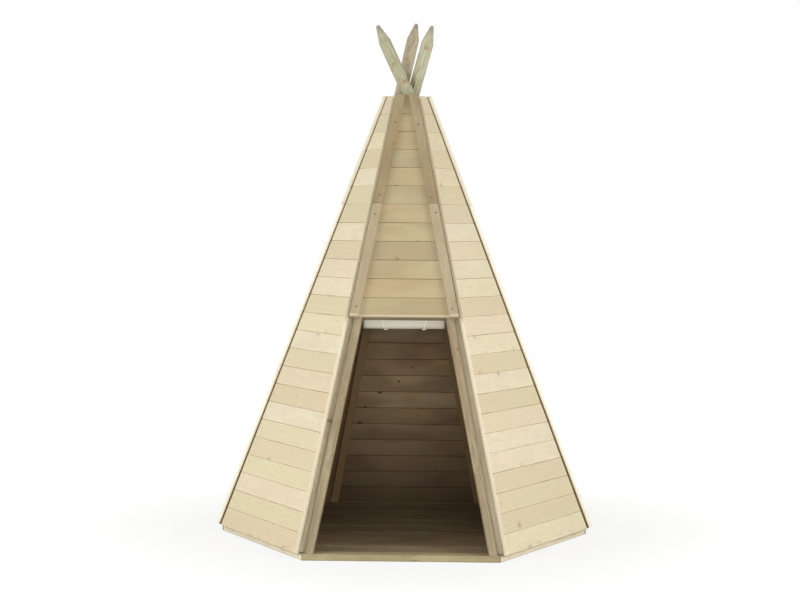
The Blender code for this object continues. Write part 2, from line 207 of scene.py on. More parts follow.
class TeepeeWood(bpy.types.PropertyGroup):
    """Colours and grain of the softwood"""

    side_boards: colour_setting("Side boards", "Pale planed boards of the side walls", "#E6DABE")
    # Front boards: darker than the side boards, partly their own tone and partly painted shade for the
    # lesser light on the battened walls
    front_boards: colour_setting("Front boards", "Warmer boards of the battened walls", "#BAA985")
    # Side board ends: a painted highlight, the pale colour of the brightly lit cut ends of the side
    # walls' boards
    lit_side_ends: colour_setting("Side board ends", "Fresh cut ends of the side walls' boards", "#F5E8CC")
    # Corner groove: the colour of painted shade in the gaps and corners between the pieces, and of the
    # dark seams at the rim's mitres
    groove: colour_setting("Corner groove", "Dark line in the corners between the walls", "#554522")
    # Painted highlight: the colour that stands in for the lit lower end of the boards and battens over
    # the doorway
    lower_end_light: colour_setting("Rubbed edge", "Lower edge of the boards over the doorway", "#CDBD9C")
    battens: colour_setting("Battens", "Cover battens over the front corners", "#B4A68A")
    crown_battens: colour_setting("Crown battens", "Cover battens of the crown's front", "#9D8C6D")
    # Back battens: paler than the front ones, painted lit, and their edges a painted highlight
    lit_back_battens: colour_setting("Back battens", "Cover battens over the corners at the back", "#EADFC4")
    back_edge_highlight: colour_setting("Back batten edges", "Fresh sawn edges of the back's battens", "#FFFAE8")
    posts: colour_setting("Posts", "Door posts", "#9F9177")
    # Jambs: nearly white, painted lit, to stand in for the light that the recess beside the doorway does
    # not get
    lit_jambs: colour_setting("Jambs", "Side rails beside the doorway", "#FBEECB")
    rim: colour_setting("Rim", "Rim board under the doorway", "#A79B7B")
    side_rim: colour_setting("Side rims", "Rim boards that the walls stand on", "#EDE4CC")
    floor: colour_setting("Floor", "Boards of the floor", "#8B7E69")
    stakes: colour_setting("Stakes", "Round crossed stakes", "#BDBBA0")
    weathered: colour_setting("Weathered ends", "Grey tips of the stakes", "#8C897A")
    treated: colour_setting("Treatment", "Green cast of the preservative", "#CFD0A6")
    latewood: colour_setting("Latewood", "Dark lines of the annual rings", "#B08C5C")
    knot: colour_setting("Knots", "Heart of a knot", "#8C6A46")
    sawn: colour_setting("Inner face", "Darker unplaned back of the boards", "#B1906A")
    inner_rails: colour_setting("Inner rails", "Sawn rails in the corners inside", "#A1865F")
    ring_spacing: length_setting("Ring spacing", "From one annual ring to the next", 0.0046)
    knot_radius: length_setting("Knot radius", "Of a common knot", 0.0085)
    knot_spacing: length_setting("Knot spacing", "Between possible knots along a board", 0.31)
    joint_shade: factor_setting("Joint shade", "Darkness in the joints between boards", 0.58)


class TeepeeDoor(bpy.types.PropertyGroup):
    """Canvas door and its cords"""

    canvas: colour_setting("Canvas", "Unbleached cotton canvas", "#E1DACB")
    cord: colour_setting("Cord", "White cotton cord", "#FFF7E6")
    thread_spacing: length_setting("Thread spacing", "From one drawn canvas thread to the next", 0.0012)
    hem_width: length_setting("Hem", "Width of the sewn side hems", 0.014)
    stitch_length: length_setting("Stitch", "Length of one stitch of the hems", 0.0035)
    cord_diameter: length_setting("Cord diameter", "Of the ties", 0.0035)
    twist_pitch: length_setting("Cord twist", "Length of one turn of the cord's strands", 0.011)


class TeepeeFixings(bpy.types.PropertyGroup):
    """Screws and nails"""

    zinc: colour_setting("Zinc", "Dull plated steel of the screws", "#6E6557")
    galvanised: colour_setting("Galvanised", "Pale zinc of the nails", "#B3A78F")
    screw_radius: length_setting("Screw head", "Radius of a screw's head", 0.0036)
    nail_radius: length_setting("Nail head", "Radius of a nail's head", 0.0015)


class TeepeeStage(bpy.types.PropertyGroup):
    """Floor, light and camera"""

    side_light: power_setting("Side light", "Strength of each side lamp", 150)
    front_light: power_setting("Front light", "Strength of the front lamp", 110)
    back_light: power_setting("Back light", "Strength of the back lamp", 110)
    daylight: factor_setting("Daylight", "Strength of the even light from all round", 0.32)
    floor_size: length_setting("Floor size", "Side of the pale floor", 60)
    lens: FloatProperty(name="Lens", description="Focal length in millimetres", default=79.55)


class TeepeeSettings(bpy.types.PropertyGroup):
    """All settings of the teepee"""

    wood: PointerProperty(type=TeepeeWood)
    door: PointerProperty(type=TeepeeDoor)
    fixings: PointerProperty(type=TeepeeFixings)
    stage: PointerProperty(type=TeepeeStage)


# Places in the walls


def shift(place):
    """A matrix of zeros that adds a place to a turning matrix."""
    moved = Matrix.Diagonal((0.0, 0.0, 0.0, 0.0))
    moved.translation = place
    return moved


def wall_frame(face):
    """Matrix of a wall's own frame: x across it, y up its slope and z out of its face."""
    angle = math.radians(FACE_DEGREES[face])
    out_level = Vector((math.cos(angle), math.sin(angle), 0.0))
    across = Vector((-math.sin(angle), math.cos(angle), 0.0))
    out = out_level * math.cos(WALL_TILT) + UP * math.sin(WALL_TILT)
    up = out.cross(across)
    place = out_level * WALL_FOOT_APOTHEM + UP * WALL_FOOT_Z
    return Matrix((across, up, out)).transposed().to_4x4() + shift(place)


def out_of(face):
    """The way that a wall's face looks."""
    return wall_frame(face).to_3x3().col[2]


def grain_frame(origin, along, out):
    """Matrix with x along the grain and z out of the face."""
    along = along.normalized()
    across = out.cross(along).normalized()
    return Matrix((along, across, along.cross(across))).transposed().to_4x4() + shift(origin)


def corner_half_width(height):
    """Half a wall's width at a height, measured to where the next wall's face meets it."""
    return (WALL_FOOT_APOTHEM - height * math.sin(WALL_TILT)) * math.tan(HALF_CORNER)


def plain_half_width(height):
    """Half the width of the boards on a plain wall, at a height."""
    share = height / WALL_LENGTH
    setback = PLAIN_SETBACK_FOOT + (PLAIN_SETBACK_TOP - PLAIN_SETBACK_FOOT) * share
    return corner_half_width(height) - setback


def long_axis(node):
    """Middle of a bar's lower end, and the way to its upper end."""
    points = sorted((v.co.copy() for v in NODES[node].data.vertices), key=lambda p: p.z)
    low, high = points[0].z, points[-1].z
    reach = 0.2 * (high - low)
    lower = [p for p in points if p.z < low + reach]
    upper = [p for p in points if p.z > high - reach]
    start, end = (sum(ps, Vector()) / len(ps) for ps in (lower, upper))
    return start, end - start


def box_middle(node):
    low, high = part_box(node)
    return (low + high) / 2


# Materials


def add_node(tree, kind, *values, **named):
    """Add a shader node. A kind in capitals is the operation of a math node. values fill its inputs
    in order and named ones by name, and the other names are its own settings. A value is a number,
    a colour, an output, or a node for its first output."""
    if kind.isupper():
        kind, named["operation"] = "Math", kind
    made = tree.nodes.new(f"ShaderNode{kind}")
    for name, value in named.items():
        if name not in made.inputs:
            setattr(made, name, value)
    filled = list(zip([socket for socket in made.inputs if socket.enabled], values))
    filled += [(made.inputs[name], value) for name, value in named.items() if name in made.inputs]
    for socket, value in filled:
        if isinstance(value, bpy.types.Node):
            value = next(output for output in value.outputs if output.enabled)
        if isinstance(value, bpy.types.NodeSocket):
            tree.links.new(value, socket)
        elif socket.type == "RGBA":
            socket.default_value = (*value[:3], 1.0)
        else:
            socket.default_value = value
    return made


def start_material(name):
    """A new material, the way to add a node to it, and its shader."""
    material = bpy.data.materials.new(name)
    material.use_nodes = True
    return material, partial(add_node, material.node_tree), material.node_tree.nodes["Principled BSDF"]


def paint(add, face, patterns, layers):
    """Paint layers over a face, in order. A layer is a colour, the share that it covers of what is
    under it, and its limits: for each pattern that it follows, the value at which it is gone and
    the one at which it is full."""
    for colour, share, limits in layers:
        if share:
            for pattern, (gone, full) in limits.items():
                share = add("MapRange", patterns[pattern], gone, full, 0.0, share)
            face = add("Mix", share, face, colour, data_type="RGBA")
    return face


def finish_surface(material, face, rough, height, strength, deep):
    """Link the colour, the roughness and the relief of a surface to its shader."""
    tree = material.node_tree
    shader = tree.nodes["Principled BSDF"]
    bump = add_node(tree, "Bump", Strength=strength, Distance=deep, Height=height)
    for node, name in ((face, "Base Color"), (rough, "Roughness"), (bump, "Normal")):
        output = next(output for output in node.outputs if output.enabled)
        tree.links.new(output, shader.inputs[name])


def per_mm(*sizes):
    """Scale of a pattern whose grains have these sizes in millimetres, along each way."""
    return tuple(1000 / size for size in sizes)


# The width of the log's face in a bar, which a board takes from its own width
BAR_WIDTH = 0.045
# How strongly each feature of the pine shows on a piece that asks for nothing else. tone and tint
# set boards apart, and mottle, green and grime lie in patches. streaks and checks, the drying
# splits, run along the grain. knots is the share of the places for a knot that have one, soil is
# what splashes up a wall, and joint is half the width of the line between boards, in metres.
PINE = dict(rings=0.22, fibre=0.15, tone=0.16, tone_tint=(0.91, 0.86, 0.76), tint=0.3, mottle=0.5)
PINE.update(green=0.28, knots=0.16, knot_dark=0.6, grime=0.0, streaks=0.0, checks=0.0, soil=0.0)
PINE.update(joint=0.0018)
# The drawn patterns of the pine: the sizes of their grains in millimetres, along, across and out
# of the face, then detail and roughness. Fibres are drawn 5 mm wide, because the real ones are too
# fine to show, and the drying splits are the lines where their pattern crosses its middle.
PINE_PATTERNS = {
    "ragged": ((14, 8, 8), 2.0, 0.5),
    "wandering": ((590, 110, 1000), 2.0, 0.5),
    "fibre": ((250, 5, 5), 2.0, 0.6),
    "mottle": ((180, 55, 900), 3.0, 0.5),
    "patches": ((420, 150, 500), 2.0, 0.5),
    "grime": ((60, 13, 13), 4.0, 0.7),
    "streaks": ((480, 11, 11), 2.0, 0.5),
    "split": ((330, 13, 13), 0.0, 0.5),
}


def grow_knots(add, patterns, grain, width, look):
    """One place for a knot to each length of board, of which a share has one. Each is measured in
    radii from its middle: the heart, the bark round it, and a halo where the grain runs round."""
    wood = bpy.context.scene.teepee.wood
    steps = (look["knot_every"], width, 0.0)
    cell = add("Mapping", grain, Scale=(1 / steps[0], 1 / width, 0.0))
    nearest = add("TexVoronoi", cell, Scale=1.0, Randomness=0.9, voronoi_dimensions="2D")
    apart = add("VectorMath", cell, nearest.outputs["Position"], operation="SUBTRACT")
    apart = add("VectorMath", add("VectorMath", apart, steps, operation="MULTIPLY"), operation="LENGTH")
    apart = add("MULTIPLY_ADD", add("SUBTRACT", patterns["ragged"], 0.5), 0.010, apart)
    lot = add("SeparateColor", nearest.outputs["Color"])
    radius = add("MULTIPLY_ADD", lot.outputs[1], wood.knot_radius, wood.knot_radius * 0.3)
    away = add("DIVIDE", apart, radius)
    present = add("LESS_THAN", lot, look["knots"])
    heart = add("MULTIPLY", present, add("MapRange", away, 1.15, 0.75))
    bark = add("MULTIPLY", heart, add("MapRange", away, 0.5, 0.95))
    halo = add("MULTIPLY", present, add("MapRange", away, 3.8, 0.8))
    inner = add("LESS_THAN", lot, 0.4)
    patterns.update(from_knot=away, heart=heart, bark=bark, halo=halo, inner_knots=inner)


def grow_rings(add, patterns, across_board, width):
    """Annual rings about a pith that lies under the face. They wander by up to 60 mm along the log,
    and by 10 mm round a knot."""
    wood = bpy.context.scene.teepee.wood
    aside = add("MULTIPLY_ADD", add("SUBTRACT", patterns["lot_b"], 0.5), -0.7 * width, across_board)
    below = add("MULTIPLY_ADD", patterns["lot_c"], 0.55 * width, 0.14 * width)
    below = add("ADD", below, patterns["out"])
    from_pith = add("VectorMath", add("CombineXYZ", aside, below), operation="LENGTH")
    from_pith = add("MULTIPLY_ADD", patterns["wandering"], 0.060, from_pith)
    from_pith = add("MULTIPLY_ADD", patterns["halo"], 0.010, from_pith)
    wave = add("MULTIPLY", from_pith, 2 * math.pi / wood.ring_spacing)
    patterns["late"] = add("MapRange", add("SINE", wave), -0.2, 1.0)


def lay_boards(add, patterns, local, across_board, pitch, depth, seed, pale, look):
    """Layers of boards that lie side by side: a painted highlight along their eased edges, soil splashed
    up the foot, the sawn inner face with painted shade towards the ground, and joints that are dark in
    some places and hardly show in others."""
    wood = bpy.context.scene.teepee.wood
    knot, sawn = Vector(wood.knot), Vector(wood.sawn)
    patterns["past_edge"] = add("SUBTRACT", add("ABSOLUTE", across_board), pitch / 2)
    number = add("ROUND", add("DIVIDE", patterns["across"], pitch))
    luck = add("TexWhiteNoise", add("ADD", number, seed + 0.5), noise_dimensions="1D")
    dark = add("MapRange", luck, 0.1, 0.9, look["joint_dark"] * 0.4, look["joint_dark"])
    uneven = add("TexNoise", add("Mapping", local, Scale=per_mm(160, 60, 900)), Scale=1.0, Detail=1.0)
    dark = add("MULTIPLY", dark, add("MapRange", uneven, 0.35, 0.65, 0.35, 1.0))
    inner = {"out": (depth * -0.72, depth * -0.97)}
    return [
        # Painted highlight along the eased edges of each board
        (pale * 1.12, 0.30, {"past_edge": (-0.0055, -0.0022)}),
        (knot * 0.7, look["soil"], {"across": (0.022, 0.0), "grime": (0.55, 0.66)}),
        # Inside it is the sawn colour, with lighter and darker boards, and painted shade that darkens it
        # towards the ground
        (sawn, 0.62, inner),
        (sawn * 0.62, 0.65, {**inner, "lot_a": (0.2, 1.0)}),
        (sawn * Vector((1.32, 1.34, 1.26)), 0.6, {**inner, "mottle": (0.48, 0.62)}),
        (sawn * 0.5, 0.5, {**inner, "patches": (0.50, 0.64)}),
        (sawn * 0.25, 0.95, {**inner, "across": (0.58, 0.0)}),
        (knot * 0.30, 1.0, {**inner, "inner_knots": (0, 1), "from_knot": (1.6, 0.9)}),
        (knot * 0.16, 0.8, {**inner, "past_edge": (-0.0030, -0.0012)}),
        (knot * 0.5, dark, {"past_edge": (-look["joint"], look["joint"] * -0.33), "end": (1, 0)}),
    ]


def softwood(name, place, colour, seed, pitch=0.0, depth=0.0, **look):
    """Planed, pressure-treated pine. Sawn along the log, it shows wide rings down the middle of a
    board and close ones at its sides, brown knots that the grain runs round, and a green cast
    from the preservative in patches. pitch is the width of one board where boards lie side by
    side, and depth their thickness. look changes the strength of one feature, and its bands
    are the last layers of paint."""
    wood = bpy.context.scene.teepee.wood
    set_looks = {"knot_every": wood.knot_spacing, "joint_dark": wood.joint_shade}
    look = {"bands": [(wood.latewood, 0.22, {"end": (0, 1)})], **set_looks, **PINE, **look}
    material, add, shader = start_material(name)
    coordinates = add("TexCoord")
    turn = place.to_euler()
    local = add("Mapping", coordinates.outputs["Object"], place.translation, turn, vector_type="TEXTURE")
    along, across, out = add("SeparateXYZ", local).outputs

    # Each board has its own log, so its own tone, and its own place up to 9 m along the grain and
    # 7 m out from it
    width = pitch or BAR_WIDTH
    own, across_board = seed * 37.0, across
    if pitch:
        board = add("FLOOR", add("DIVIDE", across, pitch))
        across_board = add("MULTIPLY_ADD", add("ADD", board, 0.5), -pitch, across)
        own = add("ADD", board, own)
    chance = add("TexWhiteNoise", own, noise_dimensions="1D")
    lot_a, lot_b, lot_c = add("SeparateColor", chance.outputs["Color"]).outputs
    own_along = add("MULTIPLY_ADD", lot_a, 9.0, along)
    own_out = add("MULTIPLY_ADD", lot_b, 7.0, out)
    grain = add("CombineXYZ", own_along, across_board, own_out)

    patterns = dict(along=along, across=across, out=out, tone=chance.outputs["Value"])
    patterns.update(lot_a=lot_a, lot_b=lot_b, lot_c=lot_c)
    for pattern, (sizes, detail, roughness) in PINE_PATTERNS.items():
        scaled = add("Mapping", grain, Scale=per_mm(*sizes))
        patterns[pattern] = add("TexNoise", scaled, Scale=1.0, Detail=detail, Roughness=roughness)
    patterns["split"] = add("ABSOLUTE", add("SUBTRACT", patterns["split"], 0.5))
    grow_knots(add, patterns, grain, width, look)
    grow_rings(add, patterns, across_board, width)
    grain_way, normal = place.to_3x3().col[0], coordinates.outputs["Normal"]
    facing = add("VectorMath", normal, grain_way, operation="DOT_PRODUCT")
    patterns["end"] = add("MapRange", add("ABSOLUTE", facing), 0.70, 0.90)
    for distance, axis in (("to_ends", along), ("to_edges", across), ("to_faces", out)):
        patterns[distance] = add("ABSOLUTE", axis)
    if "rear" in look:
        patterns["to_rear"] = add("VectorMath", local, look["rear"], operation="DOT_PRODUCT")

    pale, latewood, knot = Vector(colour), Vector(wood.latewood), Vector(wood.knot)
    layers = [
        (pale * 0.87, look["mottle"], {"mottle": (0.32, 0.68)}),
        (pale * Vector(look["tone_tint"]), look["tone"] * 4, {"tone": (0.35, 0.75)}),
        (pale * 0.80, look["tone"], {"lot_a": (0.30, 1.0)}),
        (pale * Vector((1.01, 0.95, 0.94)), look["tint"], {"lot_b": (0.55, 0.95)}),
        (pale * Vector((0.95, 0.99, 0.86)), look["tint"], {"lot_c": (0.55, 0.95)}),
        (wood.treated, look["green"], {"patches": (0.46, 0.66)}),
        (pale * Vector((0.62, 0.59, 0.55)), look["grime"], {"grime": (0.42, 0.70)}),
        (pale * Vector((0.50, 0.46, 0.38)), look["streaks"], {"streaks": (0.50, 0.66)}),
        (latewood, look["rings"] * 0.8, {"late": (0, 1)}),
        (latewood * 0.8, look["fibre"], {"fibre": (0.35, 0.75)}),
        (latewood, look["knot_dark"] * 0.45, {"halo": (0, 1)}),
        (knot, look["knot_dark"], {"heart": (0, 1)}),
        (knot * 0.35, look["knot_dark"] * 0.7, {"bark": (0, 1)}),
        (knot * 0.3, look["checks"], {"split": (0.014, 0.004), "patches": (0.46, 0.58)}),
    ]
    if pitch:
        layers += lay_boards(add, patterns, local, across_board, pitch, depth, seed, pale, look)
    face = paint(add, pale * 1.05, patterns, [*layers, *look["bands"]])

    height = add("MULTIPLY_ADD", patterns["late"], 0.35, patterns["fibre"])
    height = add("MULTIPLY_ADD", patterns["heart"], 0.6, height)
    rough = add("MapRange", height, 0.2, 1.1, 0.74, 0.52)
    finish_surface(material, face, rough, height, 0.35, 0.0006)
    shader.inputs["IOR"].default_value = 1.5
    shader.inputs["Specular IOR Level"].default_value = 0.35
    return material


def canvas_cloth(name, on_surface):
    """Plain-woven unbleached cotton canvas: an even grid of round threads, a few of them thicker,
    with soft creases. on_surface says that the pattern follows the cloth's own map, in metres."""
    door = bpy.context.scene.teepee.door
    material, add, shader = start_material(name)
    parted = add("SeparateXYZ", add("TexCoord").outputs["UV" if on_surface else "Object"]).outputs
    weft, warp = parted[0], parted[1 if on_surface else 2]
    patterns = {"weft": weft}
    cloth = add("CombineXYZ", weft, warp)
    for pattern, sizes, detail in (
        ("slub_along", (33, 1.2, 10), 1.0),
        ("slub_up", (1.2, 33, 10), 1.0),
        ("cloudy", (90, 38, 10), 2.0),
    ):
        scaled = add("Mapping", cloth, Scale=per_mm(*sizes))
        patterns[pattern] = add("TexNoise", scaled, Scale=1.0, Detail=detail)
    # Threads are 0.6 mm apart on the real cloth, and are drawn twice as coarse to show
    turns = math.pi / door.thread_spacing
    over = add("SINE", add("MULTIPLY", weft, turns))
    under = add("SINE", add("MULTIPLY", warp, turns))
    weave = add("ABSOLUTE", add("MULTIPLY", over, under))
    # A row of stitches along each side hem
    edge = add("SUBTRACT", CANVAS_WIDTH / 2, add("ABSOLUTE", weft))
    from_row = add("ABSOLUTE", add("SUBTRACT", edge, door.hem_width))
    row = add("MapRange", from_row, 0.0010, 0.0005)
    stitches = add("MULTIPLY", warp, 2 * math.pi / door.stitch_length)
    dash = add("MapRange", add("SINE", stitches), -0.3, 0.1)
    stitch = add("MULTIPLY", row, dash)
    patterns.update(weave=weave, row=row, stitch=stitch)
    base = Vector(door.canvas)
    layers = [
        (base * 0.93, 1.0, {"cloudy": (0.3, 0.7)}),
        (base * Vector((0.93, 1.01, 0.93)), 0.8, {"weft": (0.04, -0.16)}),
        (base * Vector((0.98, 0.93, 0.90)), 0.8, {"weft": (0.02, 0.16)}),
        (base * 0.78, 0.20, {"slub_along": (0.45, 0.8)}),
        (base * 0.80, 0.16, {"slub_up": (0.45, 0.8)}),
        (base * 0.62, 0.22, {"weave": (0.35, 0.0)}),
        (base * 0.6, 0.22, {"row": (0, 1)}),
        (base * 1.15, 0.5, {"stitch": (0, 1)}),
    ]
    face = paint(add, base * 1.05, patterns, layers)
    height = add("MULTIPLY_ADD", patterns["slub_along"], 0.5, add("MULTIPLY", weave, 0.6))
    height = add("MULTIPLY_ADD", stitch, 0.6, height)
    finish_surface(material, face, add("MapRange", weave, 0.0, 1.0, 0.92, 0.80), height, 0.45, 0.0004)
    shader.inputs["Sheen Weight"].default_value = 0.12
    shader.inputs["Sheen Roughness"].default_value = 0.5
    shader.inputs["Specular IOR Level"].default_value = 0.2
    return material


def cotton_cord(name):
    """Twisted white cotton cord: soft, matt strands, with painted shade in their grooves."""
    material, add, shader = start_material(name)
    fuzz = add("TexNoise", add("TexCoord").outputs["Object"], Scale=per_mm(1.1)[0])
    patterns = {"fuzz": fuzz, "groove": add("Attribute", attribute_name="groove").outputs["Fac"]}
    base = Vector(bpy.context.scene.teepee.door.cord)
    # Painted shade in the grooves between the strands
    layers = [(base * 0.88, 0.5, {"fuzz": (0.35, 0.75)}), (base * 0.60, 0.45, {"groove": (0.45, 1.0)})]
    face = paint(add, base, patterns, layers)
    finish_surface(material, face, add("MapRange", fuzz, 0.3, 0.7, 0.80, 0.92), fuzz, 0.4, 0.0003)
    shader.inputs["Sheen Weight"].default_value = 0.2
    shader.inputs["Specular IOR Level"].default_value = 0.2
    return material


def plated_steel(name, colour):
    """Zinc-plated steel out of doors: dull brownish grey metal, blotched where the plating has gone."""
    material, add, shader = start_material(name)
    blotch = add("TexNoise", add("TexCoord").outputs["Object"], Scale=per_mm(2.4)[0])
    base = Vector(colour)
    face = paint(add, base, {"blotch": blotch}, [(base * 0.55, 1.0, {"blotch": (0.35, 0.7)})])
    rough = add("MapRange", blotch, 0.3, 0.7, 0.42, 0.60)
    finish_surface(material, face, rough, blotch, 0.3, 0.0002)
    shader.inputs["Metallic"].default_value = 0.6
    return material


# Modelling


def deselect_all():
    for thing in bpy.context.view_layer.objects:
        thing.select_set(False)
    bpy.context.view_layer.objects.active = None


def give(node, material):
    """Put a material in every slot of a solid from the frame."""
    thing = NODES[node]
    if not thing.material_slots:
        thing.data.materials.append(material)
    for slot in thing.material_slots:
        slot.material = material


def new_piece(mesh, material):
    """Put a mesh in the scene as a piece of its own, with its material."""
    mesh.materials.append(material)
    piece = bpy.data.objects.new(mesh.name, mesh)
    bpy.context.scene.collection.objects.link(piece)
    return piece


def smooth_piece(name, points, faces, material):
    """A new smooth piece from points and faces that a sheet or cord worked out."""
    mesh = bpy.data.meshes.new(name)
    mesh.from_pydata([tuple(p) for p in points], [], faces)
    mesh.update()
    for face in mesh.polygons:
        face.use_smooth = True
    return new_piece(mesh, material)


def tube(path, radius, sides, pitch):
    """Points, faces and groove depths of a twisted cord that follows a path."""
    points, faces, grooves = [], [], []
    side = (path[1] - path[0]).normalized().orthogonal().normalized()
    run = 0.0
    for i, place in enumerate(path):
        ahead = path[min(i + 1, len(path) - 1)]
        behind = path[max(i - 1, 0)]
        tangent = (ahead - behind).normalized()
        side = (side - tangent * side.dot(tangent)).normalized()
        other = tangent.cross(side)
        if i:
            run += (place - path[i - 1]).length
        taper = 0.72 if i in (0, len(path) - 1) else 1.0
        for k in range(sides):
            angle = 2 * math.pi * k / sides
            turn = CORD_STRANDS * (angle + 2 * math.pi * run / pitch / CORD_STRANDS)
            groove = 0.5 - 0.5 * math.cos(turn)
            reach = radius * taper * (1 - 0.17 * groove)
            points.append(place + (side * math.cos(angle) + other * math.sin(angle)) * reach)
            grooves.append(groove)
    for i in range(len(path) - 1):
        for k in range(sides):
            a, b = i * sides + k, i * sides + (k + 1) % sides
            faces.append((a, b, b + sides, a + sides))
    last = (len(path) - 1) * sides
    faces.append(tuple(range(sides))[::-1])
    faces.append(tuple(range(last, last + sides)))
    return points, faces, grooves


def cord_piece(name, path, material, sides=12):
    """A twisted cord along a path, with the depth of its grooves kept for the material."""
    door = bpy.context.scene.teepee.door
    points, faces, grooves = tube(path, door.cord_diameter / 2, sides, door.twist_pitch)
    piece = smooth_piece(name, points, faces, material)
    groove = piece.data.attributes.new("groove", "FLOAT", "POINT")
    for value, depth in zip(groove.data, grooves):
        value.value = depth
    return piece


def rounded(points, spacing):
    """A smooth curve through points, sampled evenly."""
    curve = [points[0], *points, points[-1]]
    dense = []
    for a, b, c, d in zip(curve, curve[1:], curve[2:], curve[3:]):
        for i in range(12):
            t = i / 12
            point = 2 * b + (c - a) * t + (2 * a - 5 * b + 4 * c - d) * t**2
            dense.append(0.5 * (point + (3 * b - a - 3 * c + d) * t**3))
    dense.append(points[-1])
    even, left = [dense[0]], spacing
    for a, b in zip(dense, dense[1:]):
        step = (b - a).length
        while step > left:
            a = a + (b - a).normalized() * left
            even.append(a)
            step -= left
            left = spacing
        left -= step
    even.append(dense[-1])
    return even


# Canvas door


def cloth_piece(name, points, columns, material, places=None):
    """A sheet of canvas through rows of points. places map the points in metres, on a rolled sheet
    whose face looks the other way."""
    wide = columns + 1
    faces = []
    for i in range(len(points) // wide - 1):
        for k in range(columns):
            a = i * wide + k
            corners = (a, a + wide, a + wide + 1, a + 1)
            faces.append((a, *corners[:0:-1]) if places else corners)
    piece = smooth_piece(name, points, faces, material)
    if places:
        layer = piece.data.uv_layers.new(name="cloth")
        for loop in piece.data.loops:
            layer.data[loop.index].uv = places[loop.vertex_index]
    deselect_all()
    solid = piece.modifiers.new("cloth_thickness", "SOLIDIFY")
    solid.thickness = CANVAS_THICKNESS
    solid.offset = 0.0
    solid.use_even_offset = True
    with bpy.context.temp_override(object=piece, active_object=piece, selected_objects=[piece]):
        bpy.ops.object.modifier_apply(modifier=solid.name)
    return piece


def roll_point(angle, inset, across):
    """Point of the rolled canvas. All turns swell and sink together, so that none touches another."""
    sag = 1 + 0.012 * math.sin(angle * 2 + across * 9) + 0.010 * math.sin(angle * 3 - across * 23)
    shrink = (1 - inset / ROLL_HALF_DEPTH) * (sag - 0.022)
    deep, high = ROLL_HALF_DEPTH * shrink, ROLL_HALF_HEIGHT * shrink
    return Vector((0.0, deep * math.cos(angle), high * math.sin(angle)))


def make_roll(material):
    """The rolled part of the canvas, as one long ribbon in a spiral with loosely even ends."""
    per_turn, columns = 40, 26
    rows = ROLL_TURNS * per_turn
    deep = ROLL_HALF_DEPTH - ROLL_CORE
    points, places = [], []
    run = 0.0
    before = None
    for i in range(rows + 1):
        angle = math.pi + 2 * math.pi * i / per_turn
        inset = deep * i / rows + CANVAS_THICKNESS / 2
        here = roll_point(angle, inset, 0.0)
        run += (here - before).length if before else 0.0
        before = here
        # The turns don't end quite level, and are drawn in a little
        slip = 0.0011 * math.sin(i / per_turn * 2.4) - 0.0004
        for k in range(columns + 1):
            across = CANVAS_WIDTH * (k / columns - 0.5)
            place = roll_point(angle, inset, across)
            points.append(ROLL_CENTRE + place + Vector((across * 0.994 + slip, 0.0, 0.0)))
            places.append((across, -run))
    roll = cloth_piece("canvas_roll", points, columns, material, places)
    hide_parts("door_canvas_roll")
    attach(roll, "door_roll")
    return run


def make_hanging(material):
    """The part of the canvas between its fixing and the roll."""
    rows, columns = 48, 26
    sheet_y = ROLL_CENTRE.y - ROLL_HALF_DEPTH + CANVAS_THICKNESS / 2
    bottom = ROLL_CENTRE.z
    points = []
    for i in range(rows + 1):
        down = i / rows
        height = CANVAS_TOP_Z + (bottom - CANVAS_TOP_Z) * down
        for k in range(columns + 1):
            across = CANVAS_WIDTH * (k / columns - 0.5)
            bulge = 0.0009 * math.sin(down * math.pi) * math.sin(across * 38 + 2.2 * down)
            points.append((across, sheet_y + bulge, height))
    hanging = cloth_piece("canvas_hanging", points, columns, material)
    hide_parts("door_canvas")
    top, end = (0.0, sheet_y, CANVAS_TOP_Z), (0.0, sheet_y, bottom)
    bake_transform(hanging)
    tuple(top)
    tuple(end)


def tie_path(place, lean):
    """A tie's middle line: down in front of the roll, round under it, up behind and over the top."""
    door = bpy.context.scene.teepee.door
    clear = door.cord_diameter / 2 + CORD_CLEARANCE
    depth, height = ROLL_HALF_DEPTH + clear, ROLL_HALF_HEIGHT + clear
    points = [(lean, -depth, 0.0215), (lean * 0.8, -depth, 0.0120), (lean * 0.45, -depth, 0.0040)]
    turn = 2 * math.pi - math.acos((ROLL_HALF_DEPTH - CANVAS_THICKNESS - clear) / depth)
    steps = 16
    for i in range(1, steps + 1):
        angle = math.pi + turn * i / steps
        points.append((-lean * min(1.0, i / 5) * 0.8, depth * math.cos(angle), height * math.sin(angle)))
    middle = ROLL_CENTRE + Vector((place, 0.0, 0.0))
    return rounded([middle + Vector(p) for p in points], 0.0010)


def knot_path(middle, size):
    """An overhand knot pulled small, with its two ends lying out along the roll."""
    loop = []
    for i in range(49):
        t = 2 * math.pi * i / 49 + 0.6
        x = math.sin(t) + 2 * math.sin(2 * t)
        y = math.cos(t) - 2 * math.cos(2 * t)
        z = -math.sin(3 * t)
        loop.append(Vector((x * 1.25, y * 0.72, z * 0.9)) * size / 3)
    start = loop[0] + Vector((-2.6, 0.9, 1.2)) * size
    end = loop[-1] + Vector((2.4, 1.1, 1.0)) * size
    sag = Vector((0, 0, -0.3)) * size
    route = [start, (start + loop[0]) / 2 + sag, *loop[1:-1:3], (end + loop[-1]) / 2 + sag, end]
    return rounded([middle + p for p in route], 0.0008)


# Fixings


